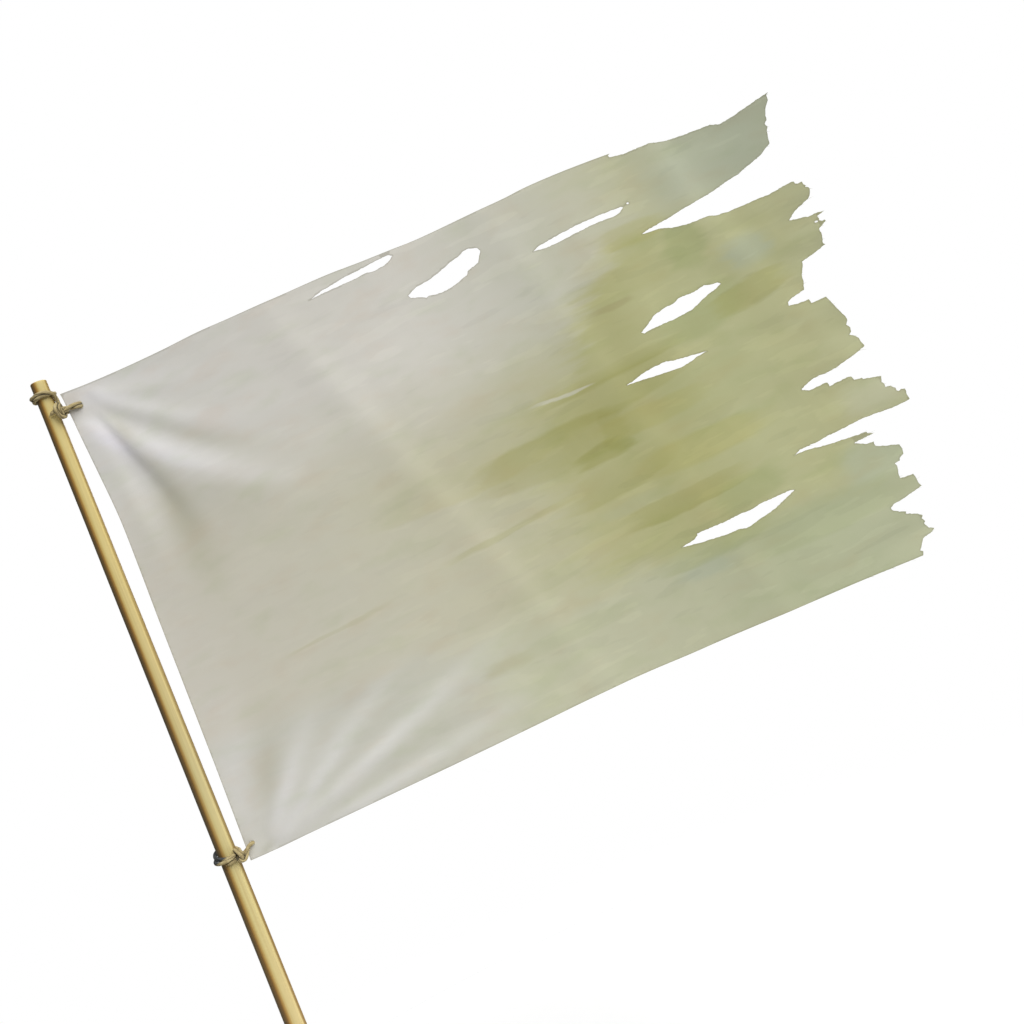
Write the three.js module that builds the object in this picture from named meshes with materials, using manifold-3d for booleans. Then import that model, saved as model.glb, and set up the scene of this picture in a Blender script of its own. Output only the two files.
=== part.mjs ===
// A tattered flag laced to a round wooden pole by two cord ties. Millimetres. The pole
// stands along +Z with the centre of its butt end at the origin, the flag flies along +X
// and its face looks towards -Y.
import * as THREE from 'three';
import { mergeVertices } from 'three/addons/utils/BufferGeometryUtils.js';
import Module from 'manifold-3d';

const wasm = await Module();
wasm.setup();

// ---- driving dimensions --------------------------------------------------------------
const POLE_LENGTH = 1200;
const POLE_TOP_R = 10;
const POLE_BUTT_R = 13.25;
const POLE_EDGE = 1.5;             // worn round edge at the pole's top
const POLE_SIDES = 40;
const CORD = 4.8;                  // diameter of the tie cord
const CLOTH = 1.2;                 // thickness of the cloth
const GAP = 0.3;                   // clearance between neighbouring pieces
const FLAG_X = 19;                 // where the flag begins, nearest to the pole
const FLAG_Z = 577.5;              // and where its lower corner is
const FLY = 940;                   // reach of the longest tongue, with a little to spare
const HOIST = 624;                 // height of the flag's box, with a little to spare
const COLUMNS = 40;                // facets of the cloth along the fly
const ROWS = 30;                   // and up the hoist
const MARGIN = 5;                  // spare cloth all round, which the outline cuts off
const CUTTER_DEPTH = 100;          // deeper than the folds

const poleRadius = (z) => POLE_TOP_R + (POLE_BUTT_R - POLE_TOP_R) * (1 - z / POLE_LENGTH);

// ---- the flag's outline: [u, v] from the flag's own corner, u along the fly, v up ------
const BOTTOM_EDGE = [[4, 0], [81, 4.5], [181, 10.5], [281, 16.5], [381, 23], [481, 29.5],
  [581, 32.5], [721, 37], [831, 39.5], [881, 39]];
// the fly's torn tongues, from the lowest up; each list ends at the root of the next tear
const TONGUES = [
  [[880, 45], [889, 57], [907, 63.5], [898, 74], [899, 83], [881, 92.5], [867, 103],
    [868, 107]],
  [[912, 116], [909, 129], [891, 134], [892, 153], [900, 157], [907, 166], [897, 174.5],
    [878, 182], [857, 192.5], [883, 195.5], [854, 201], [814, 205.5], [783, 206.5]],
  [[801, 211.5], [856, 215], [904, 215.5], [938, 217], [937, 232], [927, 233.5], [922, 240.5],
    [915, 241.5], [916, 254.5], [895, 260], [883, 268.5], [854, 267], [853, 272],
    [822, 274.5]],
  [[836, 281], [854, 283], [869, 284.5], [912, 297], [909, 307.5], [901, 315.5],
    [904, 323], [902, 328], [904, 337], [891, 368], [871, 370], [845, 374]],
  [[870, 385], [874, 403], [881, 418], [914, 426.5], [914, 446.5], [924, 453], [917, 460.5],
    [928, 464], [901, 466.5], [885, 469]],
  [[909, 483], [920, 496], [915, 505.5], [906, 510], [861, 507], [800, 506.5], [767, 509.5],
    [737, 516], [714, 518]],
  [[754, 525], [813, 535], [863, 548], [896, 563], [901, 586], [908, 605], [917, 619]],
];
const TOP_EDGE = [[902, 617], [850, 607], [826, 611], [776, 613], [712, 617.5], [702, 622],
  [646, 622], [577, 618], [483, 613], [391, 612.5], [318, 612], [221, 608.5], [131, 603],
  [31, 599], [0, 599.5]];
const HOIST_EDGE = [[1, 592.5], [5.5, 534.5], [11, 434.5], [9, 304.5], [6.5, 112.5], [4, 0]];
// torn holes in the cloth
const HOLES = [
  [[317, 593], [347, 600], [395, 605.5], [424, 607.5], [428, 605], [415, 598], [393, 598],
    [376, 596.5], [350, 596]],
  [[428, 554], [442, 560], [473, 566], [509, 578], [525, 575], [527.5, 571], [520, 558.5],
    [504, 553.5], [487, 545.5], [461, 542.5], [439, 547.5]],
  [[585, 546], [605, 552], [646, 556.5], [702, 557.5], [704.5, 556], [692, 550], [646, 548],
    [602, 544]],
  [[668, 409], [690, 422.5], [726, 431], [760, 434], [779, 429], [759, 422], [728, 411],
    [694, 409], [672, 406.5]],
  [[629, 357.5], [650, 363], [678, 367], [720, 361], [733, 360], [711, 355.5], [688, 353.5],
    [646, 356.5]],
  [[618, 154.5], [636, 158], [641, 163], [678, 164], [724, 168.5], [767, 168.5],
    [740, 157], [701, 148], [659, 150], [621, 153.5]],
];

// ---- the folds ------------------------------------------------------------------------
// Ridges, and troughs as ridges below zero: [u, v] at the root, middle and end, the height
// towards the face, the half width at the root and at the end, and how many times wider the
// side to the right of its run is, or the side to its left
const RIDGES = [
  // out of the upper tied corner
  { at: [[0, 566], [32, 530], [76, 474]], height: 3.6, width: [6, 9], right: 4, left: 1.3 },
  { at: [[28, 568], [56, 480], [102, 336]], height: -5, width: [2, 13], right: 2.6 },
  { at: [[24, 582], [60, 464], [276, 366]], height: 4.8, width: [4, 17], right: 2.2, left: 1.3 },
  { at: [[24, 588], [88, 534], [220, 466]], height: 2.6, width: [4, 12], right: 1.3, left: 1.2 },
  { at: [[14, 598], [64, 566], [200, 549]], height: 1.6, width: [3, 11], right: 1.4 },
  { at: [[27, 530], [33, 420], [45, 280]], height: 1.6, width: [7, 12], right: 1.4 },
  // out of the lower tied corner
  { at: [[26, 10], [80, 84], [144, 146]], height: 2.8, width: [5, 10], right: 2.4 },
  { at: [[22, 2], [121, 62], [288, 170]], height: 3.8, width: [4, 9], right: 2.6 },
  { at: [[16, -3], [171, 50], [432, 154]], height: 4.4, width: [4, 10], right: 2.6 },
  { at: [[41, 0], [231, 18], [440, 76]], height: 2.8, width: [5, 10], right: 2.4 },
  { at: [[24, -2], [42, 10], [62, 20]], height: -1.2, width: [3, 3] },
  // across the hoist, from above the upper edge to below the lower one
  { at: [[148, 900], [452, 100], [756, -700]], height: 2.4, width: [13, 13], right: 1.5 },
  { at: [[466, 900], [686, 100], [906, -700]], height: 2, width: [13, 13], right: 1.5 },
  { at: [[698, 900], [748, 480], [1048, 0]], height: 3.2, width: [13, 13], right: 1.5 },
];
const RIDGE_STEPS = 24;            // straight pieces that a ridge's run is measured along
const CALM = [7, 26];              // the cloth lies flat at each tie, and free this far off
// Flutter waves lean away from the pole towards their lower ends
const WAVE_LEAN = 0.36;            // how far they move along the fly per mm down
const WAVE_LENGTH = 520;
const WAVE_CREST = 150;            // where the first wave crosses the middle of the hoist
const WAVE_HEIGHT = 9;             // at the fly

// ---- the ties' routes -----------------------------------------------------------------
// Turns round the pole are [degrees from the face, z, stand-off from the pole]; the other
// strands are [x, y, z].
const TIES = {
  tie_top: {
    turns: [[84, 1160, 2.4], [92, 1166, 1], [104, 1171.5, 0.2], [125, 1175, 0],
      [150, 1176.8, 0], [180, 1177.6, 0], [225, 1177.8, 0], [270, 1178.2, 0],
      [315, 1179.3, 0], [360, 1180.2, 0], [405, 1180.5, 0], [440, 1180.2, 0],
      [470, 1181.2, 0], [500, 1182, 0], [540, 1182.8, 0], [585, 1182.6, 0.8],
      [630, 1182.2, 1.8], [675, 1183, 0.8], [710, 1183.8, 0.4], [740, 1183.4, 1.4],
      [765, 1181.6, 2.4], [785, 1178.4, 2], [797, 1174, 1.2], [802, 1169.4, 1],
      [798, 1165, 1.6]],
    strands: [
      [[14.5, -12, 1166.5], [11.6, -15.6, 1161.5], [12.4, -16.6, 1155],
        [14.6, -13.6, 1149], [17, -8.5, 1148.5], [17.6, -4, 1152.5]],
      [[3.4, -14, 1155.6], [7.4, -13.8, 1157.6], [11, -12, 1158.4], [15.5, -9, 1157]],
      [[13.4, -10.4, 1158.8], [17, -7.4, 1158.6], [22, -4.4, 1157.6], [28, -3.7, 1156],
        [33.9, -3.7, 1155.2], [36.5, -2.6, 1155.2], [37.6, 0, 1155.2], [36.5, 2.6, 1155.2],
        [33.9, 3.7, 1155.2], [26, 3.8, 1155], [19, 2.6, 1154.4], [15.8, -1.6, 1153.8]],
      [[12.5, -11, 1155], [17, -8.4, 1154.4], [21.5, -8, 1155.4], [26.5, -7.6, 1157.4],
        [31, -5.6, 1158.4], [34.4, -4, 1158.2], [36.6, -2.5, 1157.8], [37.6, 0, 1157.8],
        [36.6, 2.6, 1158.4], [34, 3.7, 1159], [26, 3.8, 1159.6], [19, 2.6, 1159.6],
        [15.8, -1.6, 1160]],
      [[16.5, -9, 1166], [15.6, -12.6, 1161], [16, -12.4, 1155], [16.5, -9, 1150]],
    ],
    knot: { at: [13.4, -9.8, 1157.4], radii: [4.4, 3.8, 5] },
    eye: { at: [37.1, 1156.3], radius: 3.4, slot: 1.7 },
  },
  tie_bottom: {
    turns: [[68, 591, 3.2], [84, 592.4, 0.6], [105, 593.8, 0], [140, 596, 0],
      [180, 598.8, 0], [220, 600.6, 0], [245, 600.8, 0], [262, 599.6, 0],
      [280, 597.6, 0], [300, 595.8, 0], [330, 593.6, 0], [360, 592.2, 0],
      [390, 591.8, 0], [420, 590.8, 0], [440, 589.8, 0], [462, 589, 0],
      [500, 589.2, 0], [540, 590.4, 0], [590, 592.2, 0], [630, 593, 0.4],
      [655, 591.8, 2.2], [680, 590.4, 4], [705, 589.8, 4.8], [730, 590.6, 4.8],
      [750, 592.4, 4.2], [762, 593.4, 3.4]],
    strands: [
      [[11.4, -11.6, 599], [14.4, -14, 595.4], [17.4, -13.8, 590.8], [18, -10.6, 586],
        [16.4, -8, 583.4]],
      [[-1, -15.2, 585.6], [3.4, -15.4, 586.4], [8, -14.4, 587.2], [12.5, -12.2, 588]],
      [[12.6, -12.4, 588.4], [14.6, -12, 584.2], [18.4, -9.6, 582.2], [21.4, -7, 584.6],
        [23.6, -5, 589], [26.2, -4, 593], [29.3, -3.7, 595.6], [31.9, -2.6, 596.2],
        [33, 0, 596.4], [31.9, 2.6, 596], [29.3, 3.7, 595.2], [25.4, 3.9, 592.6],
        [21.4, 3.6, 590], [17.8, -0.4, 588.8], [16.2, -5, 588.8]],
      [[14.4, -8, 598], [17.4, -9, 594], [18.8, -8, 589], [17.6, -5.6, 584.4]],
    ],
    knot: { at: [14.6, -10.6, 589.6], radii: [4.6, 3.8, 5.4] },
    eye: { at: [32.3, 596.2], radius: 3.5, slot: 0.2 },
  },
};
const CORD_SIDES = 8;
const CORD_STEP = 5;               // length of a facet along a cord

// ---- closed meshes and manifold-3d ----------------------------------------------------
function toSolid(geometry) {
  const plain = geometry.clone();
  plain.deleteAttribute('normal');
  plain.deleteAttribute('uv');
  const merged = mergeVertices(plain, 1e-4);
  return new wasm.Manifold(new wasm.Mesh({
    numProp: 3,
    vertProperties: new Float32Array(merged.attributes.position.array),
    triVerts: new Uint32Array(merged.index.array),
  }));
}

function toGeometry(solid) {
  const { vertProperties, triVerts } = solid.getMesh();
  const geometry = new THREE.BufferGeometry();
  geometry.setAttribute('position', new THREE.BufferAttribute(vertProperties, 3));
  geometry.setIndex(new THREE.BufferAttribute(triVerts, 1));
  geometry.computeVertexNormals();
  return geometry;
}

const join = (solids) => solids.reduce((all, one) => all.add(one));

// ---- the pole -------------------------------------------------------------------------
function poleGeometry(extra = 0) {
  const edge = Array.from({ length: 4 }, (_, i) => {
    const angle = (i / 3) * Math.PI / 2;
    return [POLE_TOP_R - POLE_EDGE * (1 - Math.cos(angle)),
      POLE_LENGTH - POLE_EDGE * (1 - Math.sin(angle))];
  });
  const profile = [[0, 0], [POLE_BUTT_R, 0], ...edge, [0, POLE_LENGTH]]
    .map(([r, z]) => new THREE.Vector2(r > 0 ? r + extra : 0, z));
  return new THREE.LatheGeometry(profile, POLE_SIDES).rotateX(Math.PI / 2);
}

// ---- the flag -------------------------------------------------------------------------
function ridgeHeight(u, v, { at, height, width, right = 1, left = 1 }) {
  const curve = new THREE.QuadraticBezierCurve(...at.map(([a, b]) => new THREE.Vector2(a, b)));
  const points = curve.getPoints(RIDGE_STEPS);
  let best = { gap: Infinity };
  for (let i = 0; i < RIDGE_STEPS; i += 1) {
    const way = points[i + 1].clone().sub(points[i]);
    const off = new THREE.Vector2(u, v).sub(points[i]);
    const share = THREE.MathUtils.clamp(off.dot(way) / way.lengthSq(), 0, 1);
    const gap = off.clone().addScaledVector(way, -share).length();
    if (gap < best.gap) best = { gap, t: (i + share) / RIDGE_STEPS, onLeft: way.cross(off) > 0 };
  }
  const spread = THREE.MathUtils.lerp(width[0], width[1], best.t) * (best.onLeft ? left : right);
  const rise = Math.sin(Math.PI * best.t ** 0.7) ** 2;
  return height * rise * Math.exp(-0.5 * (best.gap / spread) ** 2);
}

function foldDepth(u, v) {
  const along = u + WAVE_LEAN * (v - HOIST / 2);
  const wave = -WAVE_HEIGHT * THREE.MathUtils.smoothstep(u, 60, FLY)
    * Math.cos(2 * Math.PI * (along - WAVE_CREST) / WAVE_LENGTH);
  const ridges = RIDGES.reduce((sum, ridge) => sum + ridgeHeight(u, v, ridge), 0);
  const calm = Object.values(TIES).reduce((free, { eye }) => {
    const reach = Math.hypot(Math.max(0, FLAG_X + u - eye.at[0]), FLAG_Z + v - eye.at[1]);
    return free * THREE.MathUtils.smoothstep(reach, ...CALM);
  }, 1);
  return calm * (wave - ridges);
}

function flagShape() {
  const smooth = (points, count) => new THREE.SplineCurve(
    points.map(([u, v]) => new THREE.Vector2(u, v))).getPoints(count);
  const corners = (points) => points.map(([u, v]) => new THREE.Vector2(u, v));
  const outline = [...smooth(BOTTOM_EDGE, 24), ...TONGUES.flatMap(corners),
    ...corners(TOP_EDGE.slice(0, 6)), ...smooth(TOP_EDGE.slice(6), 20),
    ...smooth(HOIST_EDGE, 14).slice(0, -1)];
  const shape = new THREE.Shape(outline);
  shape.holes = HOLES.map((points) => new THREE.Path(corners(points)));
  for (const { eye } of Object.values(TIES)) {
    const hole = new THREE.Path();
    const [u, v] = [eye.at[0] - FLAG_X, eye.at[1] - FLAG_Z];
    hole.absarc(u, v + eye.slot, eye.radius, 0, Math.PI);
    hole.absarc(u, v - eye.slot, eye.radius, Math.PI, 2 * Math.PI);
    shape.holes.push(new THREE.Path(hole.getPoints(5)));
  }
  return shape;
}

function flagGeometry() {
  const sheet = new THREE.BoxGeometry(1, CLOTH, 1, COLUMNS, 1, ROWS);
  const place = sheet.attributes.position;
  for (let i = 0; i < place.count; i += 1) {
    const across = place.getX(i) + 0.5;
    const share = across * (0.5 + 0.5 * across);                // finer near the ties
    const u = (FLY + 2 * MARGIN) * share - MARGIN;
    const v = (HOIST + 2 * MARGIN) * (place.getZ(i) + 0.5) - MARGIN;
    place.setXYZ(i, u, place.getY(i) + foldDepth(u, v), v);
  }
  const cutter = new THREE.ExtrudeGeometry(flagShape(),
    { depth: CUTTER_DEPTH, bevelEnabled: false });
  cutter.rotateX(Math.PI / 2).translate(0, CUTTER_DEPTH / 2, 0);
  return toGeometry(toSolid(sheet).intersect(toSolid(cutter)));
}

// ---- the ties -------------------------------------------------------------------------
function tube(points) {
  const curve = new THREE.CatmullRomCurve3(points);
  const section = new THREE.Shape(Array.from({ length: CORD_SIDES }, (_, i) => {
    const angle = 2 * Math.PI * i / CORD_SIDES;
    return new THREE.Vector2(Math.cos(angle), Math.sin(angle)).multiplyScalar(CORD / 2);
  }));
  const steps = Math.ceil(curve.getLength() / CORD_STEP);
  return new THREE.ExtrudeGeometry(section, { steps, extrudePath: curve });
}

function turnPoint([degrees, z, standOff]) {
  const angle = THREE.MathUtils.degToRad(degrees);
  const reach = poleRadius(z) + GAP + CORD / 2 + standOff;
  return new THREE.Vector3(reach * Math.sin(angle), -reach * Math.cos(angle), z);
}

function tieGeometry({ turns, strands, knot }) {
  const routes = [turns.map(turnPoint),
    ...strands.map((points) => points.map((p) => new THREE.Vector3(...p)))];
  const lump = new THREE.SphereGeometry(1, 12, 8).scale(...knot.radii).translate(...knot.at);
  const cord = join([...routes.map(tube), lump].map(toSolid));
  return toGeometry(cord.subtract(toSolid(poleGeometry(GAP))));
}

// ---- the assembly ---------------------------------------------------------------------
function add(group, name, geometry, color, roughness) {
  const material = new THREE.MeshStandardMaterial({ color, roughness, metalness: 0 });
  const mesh = new THREE.Mesh(geometry, material);
  mesh.name = name;
  group.add(mesh);
  return mesh;
}

const model = new THREE.Group();
add(model, 'pole', poleGeometry(), 0xcdb478, 0.5);
add(model, 'flag', flagGeometry(), 0xc4c0aa, 0.9).position.set(FLAG_X, 0, FLAG_Z);
for (const [name, tie] of Object.entries(TIES)) {
  add(model, name, tieGeometry(tie), 0xb0a070, 0.8);
}

export default model;
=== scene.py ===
"""The looks of a tattered flag that two cord ties lace to a wooden pole.

The pole stands along +Z with its butt on the floor, the flag flies along +X and its face
looks towards -Y. Routes, outlines and folds are listed in millimetres of that frame, as the
CAD model has them, and MM turns them into Blender's metres.
"""
import math
import random

import bpy
import numpy as np
from mathutils import Matrix, Vector, noise
from mathutils.geometry import delaunay_2d_cdt


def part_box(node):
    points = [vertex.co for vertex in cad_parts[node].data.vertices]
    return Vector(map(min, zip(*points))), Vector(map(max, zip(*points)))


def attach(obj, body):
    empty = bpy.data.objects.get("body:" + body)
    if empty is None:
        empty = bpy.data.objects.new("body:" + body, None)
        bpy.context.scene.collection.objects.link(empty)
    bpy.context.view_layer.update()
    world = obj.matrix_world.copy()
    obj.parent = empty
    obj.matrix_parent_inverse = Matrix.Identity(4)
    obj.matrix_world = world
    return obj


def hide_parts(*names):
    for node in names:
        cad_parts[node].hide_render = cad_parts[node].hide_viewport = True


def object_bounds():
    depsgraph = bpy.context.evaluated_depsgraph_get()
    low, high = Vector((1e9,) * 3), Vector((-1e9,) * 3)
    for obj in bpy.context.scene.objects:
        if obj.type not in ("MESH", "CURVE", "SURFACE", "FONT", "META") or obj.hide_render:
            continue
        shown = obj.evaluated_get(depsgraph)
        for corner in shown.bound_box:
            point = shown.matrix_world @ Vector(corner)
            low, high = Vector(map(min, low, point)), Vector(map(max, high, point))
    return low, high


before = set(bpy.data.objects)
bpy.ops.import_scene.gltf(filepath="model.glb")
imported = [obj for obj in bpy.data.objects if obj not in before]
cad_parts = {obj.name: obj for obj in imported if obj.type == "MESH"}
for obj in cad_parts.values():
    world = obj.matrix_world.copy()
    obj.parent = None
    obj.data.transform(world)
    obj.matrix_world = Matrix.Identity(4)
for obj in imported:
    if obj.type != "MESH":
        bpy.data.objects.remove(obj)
cad_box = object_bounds()

MM = 0.001
ROOT = "root"
POLE_LOW, POLE_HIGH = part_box("pole")
FLAG_LOW, FLAG_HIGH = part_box("flag")

# ---- the pole ---------------------------------------------------------------------------
POLE_LENGTH = POLE_HIGH.z / MM
BUTT_RADIUS = POLE_HIGH.x / MM
TOP_RADIUS = 10
WORN_EDGE = 2.2                    # rounding of the top end
POLE_SIDES = 96
POLE_STEP = 8                      # length of a ring of faces
UNEVEN = 0.22                      # depth of the hollows in the worn wood

# ---- the flag ---------------------------------------------------------------------------
FLAG_X, FLAG_Z = FLAG_LOW.x / MM, FLAG_LOW.z / MM
CLOTH = 0.8                        # thickness
GRID = 4.6                         # spacing of the cloth's inner points
ROW_GAP = 0.866                    # of GRID, between rows, for even triangles
GRID_SHIFT = 0.4                   # how far an inner point strays along its row
EDGE_STEP = 2.4                    # and of the points along its edges
FRAY = 0.35                        # roughness of a torn edge
TIGHT = 0.9                        # how much closer to its cord each eye is than in CAD
EYE_SHIFT = 0.5                    # and how much nearer to the pole
TEAR_SEED, NET_SEED, THREAD_SEED = 7, 11, 23

# The outline runs anticlockwise in four stretches of [x, z]: woven edges are smooth curves
LOWER_EDGE = [(23, 577.5), (50, 578.5), (100, 582), (150, 585), (200, 588), (300, 594),
              (400, 600.5), (500, 607), (550, 609), (600, 610), (650, 612), (740, 614.5),
              (820, 616.5), (900, 616.5)]
HOIST_EDGE = [(19, 1177), (20, 1170), (21.5, 1150), (24.5, 1112), (27, 1070), (30, 1012),
              (29.5, 952), (28, 882), (27, 800), (25.5, 690), (24, 620), (23, 577.5)]
UPPER_EDGE = [(732.7, 1199.2), (721.4, 1199.5), (665, 1199.4), (621.7, 1197.7),
              (596, 1195.2), (543, 1192.3), (477.5, 1189.3), (448.4, 1189.8), (410, 1190),
              (366, 1190.8), (300.6, 1188.4), (240, 1186), (200, 1184.7), (150, 1180.5),
              (100, 1177.7), (50, 1176.5), (19, 1177)]
# and the torn fly end goes from corner to corner, tongue by tongue from the lowest up
TONGUES = [
    [(902, 621), (899, 623), (903, 628), (908, 634.5), (911, 636), (921, 638), (926, 641),
     (920, 644), (916.5, 651), (918.7, 652.7), (916, 657.5), (918.4, 660.7), (913.6, 664.5),
     (900, 670), (901, 672.4), (893.5, 675), (886, 680), (885.5, 683)],
    [(890.6, 686), (900, 687), (917.4, 690.6), (931, 693.4), (928.5, 698.6), (928, 706),
     (926.6, 710.5), (917.4, 710.7), (910, 711.4), (909.8, 716), (912.2, 726), (910.7, 730),
     (918, 731), (919, 734), (925, 736.5), (926.6, 743), (925, 749), (916.5, 752),
     (910.7, 753), (898.3, 757.5), (897, 761), (897.7, 763.7), (888.7, 764), (875, 770),
     (876.3, 771.3), (888.7, 772), (902.5, 773), (894.4, 775.7), (894, 777.6),
     (873.4, 778.6), (850.4, 780.3), (833, 782), (828.4, 783.4), (814, 784.3),
     (801.7, 783.7)],
    [(811, 788), (835, 788.5), (843, 790), (875, 792.3), (890.5, 794), (909, 794),
     (933.4, 792.5), (945, 793.4), (957.5, 794.6), (956.2, 801.4), (957, 805),
     (956.2, 808.6), (952, 809.7), (948.6, 808.3), (946.3, 810), (946.3, 813.5),
     (941, 818), (935.2, 818.8), (935.6, 823), (933.4, 826), (936, 833), (931.6, 834),
     (914.2, 837.6), (913.3, 839.4), (904, 840.7), (902, 845.6), (898.6, 846.5),
     (882.5, 845.4), (873.6, 844.3), (872.7, 849.2), (871, 850), (848.6, 848.8),
     (840.4, 852.3)],
    [(841, 854), (855.7, 859.5), (866.4, 861.3), (873.6, 860.5), (888, 862),
     (898.6, 864.6), (911, 867.5), (930.3, 873.3), (931, 874.6), (929, 879.4),
     (928.3, 885), (925, 889), (919.3, 892.8), (922.8, 895.6), (923.7, 900.4),
     (920.3, 905.2), (923.7, 910), (923, 915), (920.3, 920.5), (914.5, 934), (910, 945.4),
     (890.6, 944.8), (889.7, 950.2), (875.3, 949.8), (863.8, 951.5)],
    [(864.8, 956), (872.4, 959.4), (888.7, 962.6), (892.2, 972.2), (893.5, 980.8),
     (899.2, 991.3), (899.7, 995.2), (918.8, 999.7), (933.3, 1004), (931.2, 1006),
     (933.4, 1018.4), (932.5, 1022), (933, 1024.2), (943.6, 1029.6), (942.8, 1031.6),
     (939.5, 1031.2), (936.6, 1033.3), (937.4, 1035), (936.6, 1039), (940.3, 1040),
     (947, 1041.6), (936.6, 1042.7), (926, 1042), (920.4, 1044), (910.5, 1045),
     (903.8, 1046.6)],
    [(905.5, 1048.2), (913.8, 1054.3), (934.5, 1062.7), (936.6, 1064.8), (939.5, 1072.3),
     (938.7, 1074.3), (935.4, 1076), (936.6, 1077.7), (934.5, 1079.7), (934, 1083.5),
     (928, 1083.3), (925.8, 1084.3), (925.4, 1087.2), (923, 1088), (902.2, 1085.4),
     (890, 1084), (880.2, 1084.5), (850, 1083.3), (840.7, 1082.8), (823.3, 1084),
     (814.7, 1086.5), (786.5, 1086.7), (769, 1089.3), (756, 1093.6), (732.7, 1095.2)],
    [(739, 1097.5), (773.5, 1102.5), (791, 1106), (817, 1110), (832, 1112.7),
     (849.4, 1117.5), (866.7, 1120.3), (882, 1125.7), (899, 1131), (915.5, 1140.3),
     (916, 1145.7), (917.7, 1154.4), (920.5, 1160), (918.7, 1164), (922.4, 1167.4),
     (923, 1172.8), (927.4, 1182.5), (932.4, 1189), (932.4, 1194.5), (936, 1197),
     (921, 1194.5), (899, 1189.7), (888.4, 1187), (869, 1184.3), (858, 1188),
     (821, 1188.4), (808, 1189), (795, 1190.6), (782, 1193.4), (749.6, 1192.7),
     (743, 1193.4), (731.2, 1195), (730, 1197.7)],
]
HOLES = [
    [(336, 1170.4), (351.5, 1175), (366, 1177.5), (380.6, 1180), (414.5, 1183),
     (426.6, 1184.7), (443.6, 1185), (447.7, 1182.6), (443.6, 1179.4), (434, 1175.3),
     (419.4, 1173.8), (412, 1175.3), (395, 1173.8), (354, 1172)],
    [(447.2, 1131.7), (460.5, 1137.5), (475, 1139), (492, 1143.5), (509, 1149.6),
     (518.7, 1151.5), (528.4, 1155.7), (534.5, 1156), (544.2, 1152.7), (546.6, 1148.4),
     (541.8, 1140.6), (539.3, 1136.3), (523.6, 1131.4), (521, 1127.3), (506.6, 1123),
     (492, 1120), (480, 1120), (470, 1122), (466.6, 1120.8), (458, 1125), (449.6, 1127.3)],
    [(603.7, 1123.6), (613, 1127.3), (643.4, 1131.6), (665, 1133.8), (691, 1135),
     (721.4, 1135), (723.6, 1133.8), (718.2, 1129.4), (710.6, 1127.3), (686.7, 1127.3),
     (665, 1125.7), (641, 1123), (620.6, 1121.8)],
    [(687.4, 986.5), (699.3, 993.2), (709, 1000), (726, 1004), (735.7, 1004.7),
     (745.2, 1008.5), (764.4, 1008.5), (778.7, 1011.8), (787.3, 1009.5), (795, 1009),
     (798.4, 1006.2), (791, 1002.8), (777.7, 999.3), (754.8, 989.8), (731.8, 987),
     (701.2, 986), (690.7, 984.2)],
    [(647.7, 935), (657.2, 936.8), (668.7, 940.6), (684, 943), (702.2, 944),
     (709.8, 941.6), (739.5, 938.7), (752.5, 937.4), (739.5, 935.8), (730, 933),
     (716.5, 930.7), (691.7, 932), (665, 934)],
    [(637.3, 732), (655.3, 735.5), (660, 738.8), (660, 740.7), (697.4, 741.7),
     (716.5, 743.6), (728, 743.2), (743.3, 746), (781.6, 747.4), (786.4, 746),
     (770, 739.4), (758.6, 734.6), (747, 731.7), (720.4, 725.4), (716.5, 725),
     (709.8, 727), (693.6, 726.7), (659, 729.2)],
]
PINHOLES = [(730.5, 1136, 1.6, 1.2), (933, 1033, 2.4, 1.2)]    # x, z, half width, half height

# ---- the folds, as in the CAD model -----------------------------------------------------
# Ridges, and troughs as ridges below zero: [u, v] from the flag's corner at the root, middle
# and end, the height towards the face, the half width at the root and at the end, and how
# many times wider the side to the right of its run is, and the side to its left
RIDGES = [
    ([(0, 566), (32, 530), (76, 474)], 3.6, (6, 9), 4, 1.3),
    ([(28, 568), (56, 480), (102, 336)], -5, (2, 13), 2.6, 1),
    ([(24, 582), (60, 464), (276, 366)], 4.8, (4, 17), 2.2, 1.3),
    ([(24, 588), (88, 534), (220, 466)], 2.6, (4, 12), 1.3, 1.2),
    ([(14, 598), (64, 566), (200, 549)], 1.6, (3, 11), 1.4, 1),
    ([(27, 530), (33, 420), (45, 280)], 1.6, (7, 12), 1.4, 1),
    ([(26, 10), (80, 84), (144, 146)], 2.8, (5, 10), 2.4, 1),
    ([(22, 2), (121, 62), (288, 170)], 3.8, (4, 9), 2.6, 1),
    ([(16, -3), (171, 50), (432, 154)], 4.4, (4, 10), 2.6, 1),
    ([(41, 0), (231, 18), (440, 76)], 2.8, (5, 10), 2.4, 1),
    ([(24, -2), (42, 10), (62, 20)], -1.2, (3, 3), 1, 1),
    ([(148, 900), (452, 100), (756, -700)], 2.4, (13, 13), 1.5, 1),
    ([(466, 900), (686, 100), (906, -700)], 2, (13, 13), 1.5, 1),
    ([(698, 900), (748, 480), (1048, 0)], 3.2, (13, 13), 1.5, 1),
]
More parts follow.
